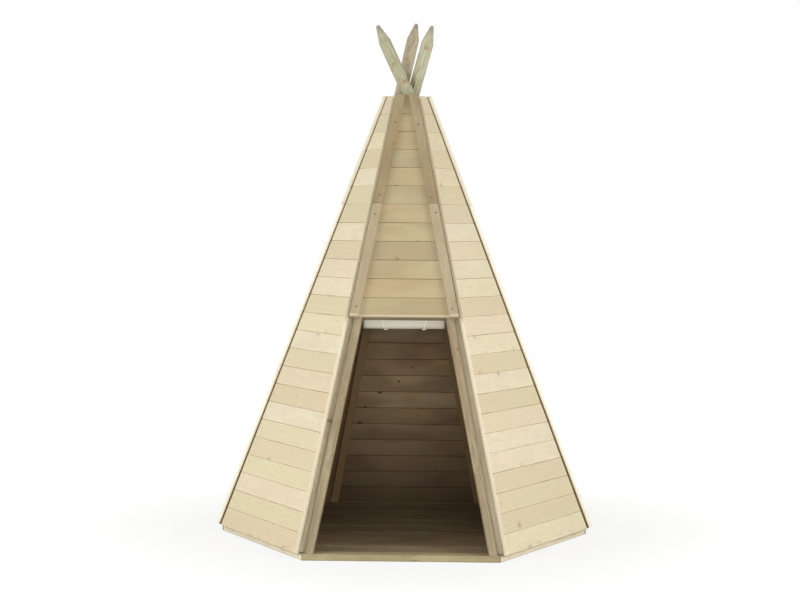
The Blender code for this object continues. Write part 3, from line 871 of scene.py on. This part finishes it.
def head_blank(radius, sides, depth):
    """A round head in edit mode, its face selected, at z = 0 and looking up +z."""
    deselect_all()
    middle = (0, 0, -depth / 2)
    bpy.ops.mesh.primitive_cylinder_add(vertices=sides, radius=radius, depth=depth, location=middle)
    head = bpy.context.active_object
    bpy.ops.object.mode_set(mode="EDIT")
    bpy.ops.mesh.select_all(action="DESELECT")
    form = bmesh.from_edit_mesh(head.data)
    for face in form.faces:
        face.select = face.normal.z > 0.9
    bmesh.update_edit_mesh(head.data)
    return head


def screw_head(radius):
    """A countersunk head with a cross recess."""
    head = head_blank(radius, 24, radius * 0.5)
    bpy.ops.mesh.inset(thickness=radius * 0.10, depth=radius * 0.05)
    bpy.ops.mesh.inset(thickness=radius * 0.30, depth=0)
    # Between the arms of the cross the inner face is drawn in, and the cross that is left is sunk
    form = bmesh.from_edit_mesh(head.data)
    inner = [face for face in form.faces if face.select]
    for vert in inner[0].verts:
        angle = math.atan2(vert.co.y, vert.co.x)
        from_arm = abs((angle + math.pi / 4) % (math.pi / 2) - math.pi / 4)
        if from_arm >= math.radians(17):
            vert.co.x *= 0.42
            vert.co.y *= 0.42
    bmesh.update_edit_mesh(head.data)
    bpy.ops.mesh.extrude_region_move(TRANSFORM_OT_translate={"value": (0, 0, -radius * 0.35)})
    bpy.ops.transform.resize(value=(0.6, 0.6, 1), center_override=(0, 0, 0))
    bpy.ops.object.mode_set(mode="OBJECT")
    return head


def nail_head(radius):
    """A flat nail head with an eased rim."""
    head = head_blank(radius, 10, radius * 0.6)
    bpy.ops.mesh.inset(thickness=radius * 0.22, depth=radius * 0.12)
    bpy.ops.object.mode_set(mode="OBJECT")
    return head


def set_heads(name, model, face, spots, material):
    """Copies of one head on a wall, as one piece. A spot is a place in the wall's frame and a turn."""
    joined = bmesh.new()
    to_world = wall_frame(face)
    upright = out_of(face).normalized().to_track_quat("Z", "Y").to_matrix().to_4x4()
    for place, turn in spots:
        copy = model.data.copy()
        turned = upright @ Matrix.Rotation(turn, 4, "Z")
        turned.translation = to_world @ Vector(place)
        copy.transform(turned)
        joined.from_mesh(copy)
        bpy.data.meshes.remove(copy)
    mesh = bpy.data.meshes.new(name)
    joined.to_mesh(mesh)
    joined.free()
    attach(new_piece(mesh, material), "root")


def corner_lath(name, face, side, foot, top):
    """A thin tapered lath against the boards' inner face. It closes the slot between the ends of
    one wall's boards and the back of the next wall."""
    deselect_all()
    bpy.ops.mesh.primitive_cube_add(size=1, location=(0, 0, 0))
    lath = bpy.context.active_object
    lath.name = lath.data.name = name
    bpy.ops.object.mode_set(mode="EDIT")
    form = bmesh.from_edit_mesh(lath.data)
    for vert in form.verts:
        height = top if vert.co.y > 0 else foot
        outer = corner_half_width(height) - LATH_FROM_CORNER
        inner = plain_half_width(height) - LATH_LAP
        across = outer if vert.co.x * side > 0 else inner
        depth = BOARD_THICKNESS + LATH_CLEARANCE + (LATH_THICKNESS if vert.co.z < 0 else 0.0)
        vert.co = (across * side, height, -depth)
    bmesh.update_edit_mesh(lath.data)
    bpy.ops.mesh.bevel(offset=0.0006, segments=1)
    bpy.ops.object.mode_set(mode="OBJECT")
    lath.data.transform(wall_frame(face))
    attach(lath, "root")
    return lath


# Operators


def lit_lower_edge(axis, start):
    """Bands at the lower edge of what ends over the doorway: painted pale as a highlight for its lit
    lower end, under a painted shadow line.
    """
    wood = bpy.context.scene.teepee.wood
    return [
        (wood.knot, 0.45, {axis: (start + 0.0130, start + 0.0105)}),
        (wood.lower_end_light, 0.9, {axis: (start + 0.0108, start + 0.0095)}),
    ]


class TEEPEE_OT_boards(bpy.types.Operator):
    """Finish the boards of the walls and of the crown"""

    bl_idname = "teepee.boards"
    bl_label = "Boards"

    def execute(self, context):
        wood = context.scene.teepee.wood
        end = {"end": (0, 1)}
        # Painted highlight on the cut ends of the battened walls' boards, in the back battens' lit
        # colour
        lit_end = (wood.lit_back_battens, 0.9, end)
        over_door = (DOOR_HEIGHT - 0.002, DOOR_HEIGHT + 0.002)
        side = dict(rings=0.08, fibre=0.07, tone=0.42, tint=0.7, knots=0.24, knot_dark=0.45)
        side.update(grime=0.20, soil=0.7, green=0.16)
        # The side boards' cut ends are painted pale as a highlight, and above the doorway's height
        # painted shade lies deeper in, in the gap at the corner
        side["bands"] = [
            (wood.lit_side_ends, 0.9, end),
            (wood.groove, 0.5, {**end, "out": (-0.0120, -0.0145), "across": over_door}),
        ]
        battened = dict(rings=0.26, tone=0.30, tint=0.3, green=0.24, mottle=0.9, knots=0.40)
        battened["tone_tint"] = (0.86, 0.88, 0.93)
        # Painted shade deeper in the battened walls' board ends, in the gap at the corner; on the front
        # it is fainter and lies deeper
        battened["bands"] = [lit_end, (wood.groove, 1.0, {**end, "out": (-0.0026, -0.0040)})]
        groove = (wood.groove, 0.55, {**end, "out": (-0.0040, -0.0060)})
        front = {**battened, "bands": [lit_end, groove, *lit_lower_edge("across", DOOR_HEIGHT)]}
        looks = {face: (wood.front_boards, battened) for face in BATTENED_FACES}
        looks.update(front=(wood.front_boards, front), back=(wood.side_boards, side))
        # Painted shade in the corner's groove along the rear ends of the side walls' upper boards
        rear = plain_half_width(0.0)
        rear_groove_shade = {"to_rear": (rear - 0.0065, rear - 0.0045), "across": (0.5, 1.3)}
        rear_groove_shade["out"] = (-0.0060, -0.0040)
        for face, hand in HANDS.items():
            look = {**side, "bands": [*side["bands"], (wood.groove, 0.8, rear_groove_shade)]}
            look["rear"] = (hand, rear - plain_half_width(1.0), 0.0)
            looks[face] = (wood.side_boards, look)
        for face, (colour, look) in looks.items():
            name, place, draw = f"planed_pine_{face}", wall_frame(face), BOARD_DRAWS[face]
            material = softwood(name, place, colour, draw, BOARD_PITCH, BOARD_THICKNESS, **look)
            give(f"wall_boards_{face}", material)
            give(f"crown_boards_{face}", material)
        return {"FINISHED"}


class TEEPEE_OT_timbers(bpy.types.Operator):
    """Finish the posts, rails, lintel and battens"""

    bl_idname = "teepee.timbers"
    bl_label = "Posts, rails and battens"

    def execute(self, context):
        wood = context.scene.teepee.wood
        near_edge = (TIMBER_WIDTH / 2 - 0.0040, TIMBER_WIDTH / 2 - 0.0020)
        rail = dict(rings=0.2, knots=0.5, tone=0.1, tint=0.0, green=0.0)
        rail["bands"] = [(wood.battens, 0.95, {"out": (0.008, 0.014)})]
        post = dict(rings=0.30, checks=0.7, knots=0.5, tone=0.0, mottle=1.0, grime=0.6, streaks=0.5)
        # Painted shade along the edges of the posts and of the jambs, in the gaps beside them
        post["bands"] = [(wood.groove, 0.5, {"to_edges": near_edge})]
        jamb = dict(rings=0.20, checks=0.5, knots=0.3, tone=0.0, tint=0.0, mottle=0.8, green=0.0)
        jamb["bands"] = [(wood.groove, 0.25, {"to_faces": near_edge})]
        wear = {"left": dict(grime=0.55, streaks=0.55), "right": dict(grime=0.10, streaks=0.20)}
        strip = dict(rings=0.30, knots=0.3, tone=0.1, tint=0.1, mottle=0.9, grime=0.3)
        # A painted highlight along the edges of the back battens
        edge_highlight = {"to_edges": (BATTEN_WIDTH / 2 - 0.0012, BATTEN_WIDTH / 2 - 0.0004)}
        # The lower and the crown battens: their colour and look
        at_front = (
            (wood.battens, {**strip, "bands": lit_lower_edge("along", 0.0)}),
            (wood.crown_battens, strip),
        )
        # The back battens are painted lit, with the edge highlight stronger on the lower ones than on
        # the crown's
        at_back = tuple(
            (wood.lit_back_battens, {**strip, "bands": [(wood.back_edge_highlight, share, edge_highlight)]})
            for share in (0.70, 0.35)
        )
        seed = DRAWS["timber"]
        for face in FACE_DEGREES:
            for hand in HANDS:
                end = f"{face}_{hand}"
                bars = [(f"rail_{end}", "sawn_pine_rail", wood.inner_rails, rail)]
                if face == "front":
                    bars = [(f"door_post_{hand}", "planed_pine_post", wood.posts, post)]
                elif end in DOORWAY_ENDS:
                    bars = [(f"rail_{end}", "planed_pine_jamb", wood.lit_jambs, {**jamb, **wear[face]})]
                if face in BATTENED_FACES:
                    finishes = at_front if face == "front" else at_back
                    for node, finish in zip((f"batten_{end}", f"crown_batten_{end}"), finishes):
                        bars.append((node, "planed_pine_batten", *finish))
                for node, kind, colour, look in bars:
                    start, along = long_axis(node)
                    place = grain_frame(start, along, out_of(face))
                    give(node, softwood(f"{kind}_{node}", place, colour, seed, **look))
                    seed += 1
        lean = wall_frame("front").to_3x3()
        place = grain_frame(box_middle("door_lintel"), lean.col[0], lean.col[2])
        give("door_lintel", softwood("sawn_pine_lintel", place, wood.posts, DRAWS["lintel"]))
        return {"FINISHED"}


class TEEPEE_OT_laths(bpy.types.Operator):
    """Close the corners between the walls with thin laths inside"""

    bl_idname = "teepee.laths"
    bl_label = "Corner laths"

    def execute(self, context):
        wood = context.scene.teepee.wood
        # Painted shade on the laths' outer faces, in the groove behind the boards' ends
        lath_shade = (wood.groove, 0.7, {"out": (-BOARD_THICKNESS - 0.0015, -BOARD_THICKNESS - 0.0008)})
        look = dict(rings=0.2, knots=0.5, tone=0.1, tint=0.0, green=0.0, bands=[lath_shade])
        ends = [(face, hand, side) for face in PLAIN_FACES for hand, side in HANDS.items()]
        for seed, (face, hand, side) in enumerate(ends, DRAWS["lath"]):
            corner = f"{face}_{hand}"
            foot = LATH_FOOT_OVER_DOOR if corner in DOORWAY_ENDS else LATH_FOOT
            top = LATH_TOP_UNDER_STAKE if corner in STAKED_ENDS else LATH_TOP
            lath = corner_lath(f"corner_lath_{corner}", face, side, foot, top)
            low, high = (
                wall_frame(face) @ Vector((side * corner_half_width(height), height, 0.0))
                for height in (0.0, 1.0)
            )
            place = grain_frame(low, high - low, out_of(face))
            pine = softwood(f"sawn_pine_{lath.name}", place, wood.inner_rails, seed, **look)
            lath.data.materials.append(pine)
        return {"FINISHED"}


class TEEPEE_OT_base(bpy.types.Operator):
    """Finish the rim, the floor and its bearers"""

    bl_idname = "teepee.base"
    bl_label = "Rim and floor"

    def execute(self, context):
        wood = context.scene.teepee.wood
        corner = RIM_APOTHEM * math.tan(HALF_CORNER)
        look = dict(rings=0.30, knots=0.15, knot_dark=0.5, green=0.3, checks=0.6, grime=0.4)
        # Painted shade along the foot of each rim board and dark seams at its mitred ends; the side rims
        # also get a painted shadow under the walls' boards
        foot_shade_and_seams = [
            (wood.groove, 0.45, {"out": (-0.0100, -0.0140)}),
            (wood.groove, 0.85, {"to_ends": (corner - 0.0040, corner - 0.0020)}),
        ]
        shadow_under_walls = (wood.groove, 0.55, {"out": (0.0050, 0.0090)})
        for seed, (face, degrees) in enumerate(FACE_DEGREES.items(), DRAWS["rim"]):
            angle = math.radians(degrees)
            along = Vector((-math.sin(angle), math.cos(angle), 0.0))
            place = grain_frame(box_middle(f"rim_{face}"), along, UP)
            colour, bands = wood.rim, foot_shade_and_seams
            if face in HANDS:
                colour, bands = wood.side_rim, [*foot_shade_and_seams, shadow_under_walls]
            pine = softwood(f"planed_pine_rim_{face}", place, colour, seed, **look, bands=bands)
            give(f"rim_{face}", pine)
        # The floor's joints are drawn wider than the real ones, as painted shade for the shadow between
        # the rounded boards
        place = grain_frame(Vector((0.0, -FLOOR_APOTHEM, FLOOR_TOP)), Vector((1.0, 0.0, 0.0)), UP)
        look = dict(rings=0.45, tone=0.80, green=0.35, mottle=0.9, knots=0.4, grime=0.8, checks=0.8)
        look.update(streaks=0.6, joint=0.0160, joint_dark=1.0)
        board = (DRAWS["floor"], FLOOR_PITCH, FLOOR_THICKNESS)
        give("floor_boards", softwood("planed_pine_floor", place, wood.floor, *board, **look))
        for seed, hand in enumerate(("left", "centre", "right"), DRAWS["bearer"]):
            node = f"floor_bearer_{hand}"
            place = grain_frame(box_middle(node), Vector((0.0, 1.0, 0.0)), UP)
            give(node, softwood(f"sawn_pine_{node}", place, wood.rim, seed))
        return {"FINISHED"}


class TEEPEE_OT_stakes(bpy.types.Operator):
    """Finish the three round crossed stakes"""

    bl_idname = "teepee.stakes"
    bl_label = "Stakes"

    def execute(self, context):
        wood = context.scene.teepee.wood
        look = dict(rings=0.15, checks=1.0, knots=0.7, green=0.35, mottle=1.0, tone=0.0, grime=1.0)
        look.update(streaks=0.35, knot_every=0.10, knot_dark=0.45)
        tints = {"left": (0.96, 0.99, 0.97), "back": (1.06, 0.96, 1.02), "right": (1.03, 1.06, 1.08)}
        for seed, (side, tint) in enumerate(tints.items(), DRAWS["stake"]):
            node = f"pole_{side}"
            start, along = long_axis(node)
            place = grain_frame(start, along, along.orthogonal())
            tip = max((v.co - start).dot(along.normalized()) for v in NODES[node].data.vertices)
            grey = (wood.weathered, 0.7, {"along": (tip - 0.045, tip - 0.012)})
            colour = [a * b for a, b in zip(wood.stakes, tint)]
            give(node, softwood(f"rounded_pine_{node}", place, colour, seed, **look, bands=[grey]))
        return {"FINISHED"}


class TEEPEE_OT_canvas(bpy.types.Operator):
    """Make the canvas door, hanging and rolled"""

    bl_idname = "teepee.canvas"
    bl_label = "Canvas door"

    def execute(self, context):
        run = make_roll(canvas_cloth("cotton_canvas_rolled", True))
        make_hanging(canvas_cloth("cotton_canvas_hanging", False))
        print(f"canvas in the roll: {run:.3f} m long")
        return {"FINISHED"}


class TEEPEE_OT_ties(bpy.types.Operator):
    """Make the two cords that hold the rolled canvas"""

    bl_idname = "teepee.ties"
    bl_label = "Door ties"

    def execute(self, context):
        material = cotton_cord("cotton_cord")
        for node, place in TIE_PLACES.items():
            lean = -0.008 if place < 0 else 0.006
            path = tie_path(place, lean)
            tie = cord_piece(node.replace("door_tie", "cord_tie"), path, material)
            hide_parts(node)
            middle = ROLL_CENTRE + Vector((place - lean, -0.0150, -0.0265))
            knot = cord_piece(f"{tie.name}_knot", knot_path(middle, 0.0034), material, 10)
            for piece in (tie, knot):
                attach(piece, "door_roll")
            length = sum((b - a).length for a, b in zip(path, path[1:]))
            tuple(path[0])
            [tuple(p) for p in path]
            print(f"{tie.name}: {length:.3f} m")
        return {"FINISHED"}


class TEEPEE_OT_fixings(bpy.types.Operator):
    """Set the screws of the battens and the nails of the boards"""

    bl_idname = "teepee.fixings"
    bl_label = "Screws and nails"

    def execute(self, context):
        fixings = context.scene.teepee.fixings
        steel = plated_steel("zinc_plated_steel", fixings.zinc)
        bright = plated_steel("galvanised_steel", fixings.galvanised)
        screw = screw_head(fixings.screw_radius)
        nail = nail_head(fixings.nail_radius)
        for face in BATTENED_FACES:
            set_heads(f"batten_screws_{face}", screw, face, self.screw_spots(face), steel)
        for face in PLAIN_FACES:
            set_heads(f"board_nails_{face}", nail, face, self.nail_spots(), bright)
        for model in (screw, nail):
            bpy.data.objects.remove(model, do_unlink=True)
        return {"FINISHED"}

    def screw_spots(self, face):
        """A screw near each end of every batten, and three more along the long ones at the back.
        None is set quite in line."""
        inset, low = (0.002, DOOR_HEIGHT + 0.036) if face == "front" else (0.009, 0.06)
        heights = [low, SEAM_HEIGHT - 0.048, SEAM_HEIGHT + 0.032, WALL_LENGTH - 0.142]
        if face != "front":
            heights += [low + (SEAM_HEIGHT - low) * share for share in (0.26, 0.52, 0.77)]
        for i, height in enumerate(heights):
            for side in HANDS.values():
                x = side * (corner_half_width(height) - inset - BATTEN_WIDTH / 2)
                wobble = 0.003 * math.sin(37 * height + side)
                yield (x + wobble, height + wobble * 2, BATTEN_FACE + SCREW_PROUD), 0.7 * i + side

    def nail_spots(self):
        """A nail at each end of every board, over the rail behind, and none quite in line."""
        for board in range(BOARDS_IN_A_WALL):
            for side in HANDS.values():
                height = (board + 0.5) * BOARD_PITCH
                inset = 0.029 + 0.010 * (height / WALL_LENGTH)
                x = side * (plain_half_width(height) - inset)
                wobble = 0.0030 * math.sin(91 * height + 2 * side)
                yield (x + wobble, height + wobble * 4, NAIL_PROUD), board


class TEEPEE_OT_stage(bpy.types.Operator):
    """Set up the floor, the light and the camera"""

    bl_idname = "teepee.stage"
    bl_label = "Stage"

    def execute(self, context):
        stage = context.scene.teepee.stage
        scene = context.scene
        scene.view_settings.view_transform = "Standard"
        self.add_camera(scene, stage)
        self.add_floor(stage)
        self.add_world(scene, stage)
        # The soft lamps: place, size and strength
        self.add_lamp("left_softbox", (-4.7, -2.5, 2.4), (3.0, 3.0), stage.side_light)
        self.add_lamp("right_softbox", (4.7, -2.5, 2.4), (3.0, 3.0), stage.side_light * 0.95)
        self.add_lamp("front_softbox", (0.3, -6.4, 1.5), (3.4, 1.8), stage.front_light)
        self.add_lamp("back_softbox", (-1.5, 6.0, 3.6), (4.0, 3.0), stage.back_light)
        return {"FINISHED"}

    def add_camera(self, scene, stage):
        """The photograph's camera, turned by its yaw, then its pitch and then its roll."""
        camera = bpy.data.objects.new("camera", bpy.data.cameras.new("camera"))
        scene.collection.objects.link(camera)
        level_ahead = Vector((math.sin(CAMERA_YAW), math.cos(CAMERA_YAW), 0.0))
        ahead = level_ahead * math.cos(CAMERA_PITCH) + UP * math.sin(CAMERA_PITCH)
        right = Vector((math.cos(CAMERA_YAW), -math.sin(CAMERA_YAW), 0.0))
        up = right.cross(ahead)
        level = right * math.cos(CAMERA_ROLL) + up * math.sin(CAMERA_ROLL)
        upright = up * math.cos(CAMERA_ROLL) - right * math.sin(CAMERA_ROLL)
        turned = Matrix((level, upright, -ahead)).transposed().to_4x4()
        camera.matrix_world = turned + shift(CAMERA_PLACE)
        camera.data.sensor_width = 36.0
        camera.data.lens = stage.lens
        camera.data.clip_end = 200.0
        scene.camera = camera

    def add_floor(self, stage):
        """A paper floor, half a millimetre under the feet so that it doesn't flicker with them."""
        deselect_all()
        bpy.ops.mesh.primitive_plane_add(size=stage.floor_size, location=(0, 0, -0.0005))
        floor = bpy.context.active_object
        floor.name = "studio_floor"
        bpy.ops.object.transform_apply(location=True, rotation=True, scale=True)
        material, add, shader = start_material("studio_paper")
        shader.inputs["Base Color"].default_value = (*linear("#E7E7E6"), 1.0)
        shader.inputs["Roughness"].default_value = 0.9
        shader.inputs["Specular IOR Level"].default_value = 0.0
        # Seen paper is nearly white of itself, and keeps a faint shadow round the teepee
        away = add("VectorMath", add("TexCoord").outputs["Object"], operation="LENGTH")
        glow = add("MapRange", away, 1.0, 3.0, 0.815, 1.04)
        white = add("Emission", linear("#FFFFFF"), glow)
        part = add("AddShader", white, add("BsdfDiffuse", linear("#737373")))
        both = add("MixShader", self.seen(add), shader, part)
        tree = material.node_tree
        tree.links.new(both.outputs[0], tree.nodes["Material Output"].inputs["Surface"])
        floor.data.materials.append(material)
        floor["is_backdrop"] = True

    def seen(self, add):
        """1 for what the camera sees, also in gloss and through glass, and 0 for what lights."""
        path = add("LightPath").outputs
        seen = add("MAXIMUM", path["Is Camera Ray"], path["Is Glossy Ray"])
        return add("MAXIMUM", seen, path["Is Transmission Ray"])

    def add_world(self, scene, stage):
        world = bpy.data.worlds.new("studio_light")
        world.use_nodes = True
        tree = world.node_tree
        add = partial(add_node, tree)
        even = add("Background", linear("#FFFEFB"), stage.daylight)
        both = add("MixShader", self.seen(add), even, add("Background", linear("#FFFFFF"), 1.0))
        tree.links.new(both.outputs[0], tree.nodes["World Output"].inputs["Surface"])
        scene.world = world

    def add_lamp(self, name, place, size, power):
        light = bpy.data.lights.new(name, "AREA")
        light.shape = "RECTANGLE"
        light.size, light.size_y = size
        light.energy = power
        lamp = bpy.data.objects.new(name, light)
        bpy.context.scene.collection.objects.link(lamp)
        lamp.location = place
        lamp.rotation_euler = (Vector(place) - UP).to_track_quat("Z", "Y").to_euler()


class TEEPEE_PT_panel(bpy.types.Panel):
    """The steps of the teepee, in order"""

    bl_idname = "TEEPEE_PT_panel"
    bl_label = "Wooden teepee"
    bl_space_type = "VIEW_3D"
    bl_region_type = "UI"
    bl_category = "Teepee"

    def draw(self, context):
        layout = self.layout
        for group in ("wood", "door", "fixings", "stage"):
            values = getattr(context.scene.teepee, group)
            box = layout.box()
            box.label(text=group.capitalize())
            for name in values.bl_rna.properties.keys():
                if name not in ("rna_type", "name"):
                    box.prop(values, name)
        for operator in OPERATORS:
            layout.operator(operator.bl_idname)


SETTINGS = (TeepeeWood, TeepeeDoor, TeepeeFixings, TeepeeStage, TeepeeSettings)
OPERATORS = (
    TEEPEE_OT_boards,
    TEEPEE_OT_timbers,
    TEEPEE_OT_laths,
    TEEPEE_OT_base,
    TEEPEE_OT_stakes,
    TEEPEE_OT_canvas,
    TEEPEE_OT_ties,
    TEEPEE_OT_fixings,
    TEEPEE_OT_stage,
)


def register():
    for made in (*SETTINGS, *OPERATORS, TEEPEE_PT_panel):
        bpy.utils.register_class(made)
    bpy.types.Scene.teepee = PointerProperty(type=TeepeeSettings)


def unregister():
    del bpy.types.Scene.teepee
    for made in reversed((*SETTINGS, *OPERATORS, TEEPEE_PT_panel)):
        bpy.utils.unregister_class(made)


def main():
    register()
    bpy.ops.teepee.stage()
    bpy.ops.teepee.canvas()
    bpy.ops.teepee.ties()
    bpy.ops.teepee.boards()
    bpy.ops.teepee.timbers()
    bpy.ops.teepee.laths()
    bpy.ops.teepee.base()
    bpy.ops.teepee.stakes()
    bpy.ops.teepee.fixings()
    boxes = {"solids": SOLID_BOX, "looks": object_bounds()}
    {name: [list(corner) for corner in box] for name, box in boxes.items()}


if __name__ == "__main__":
    main()
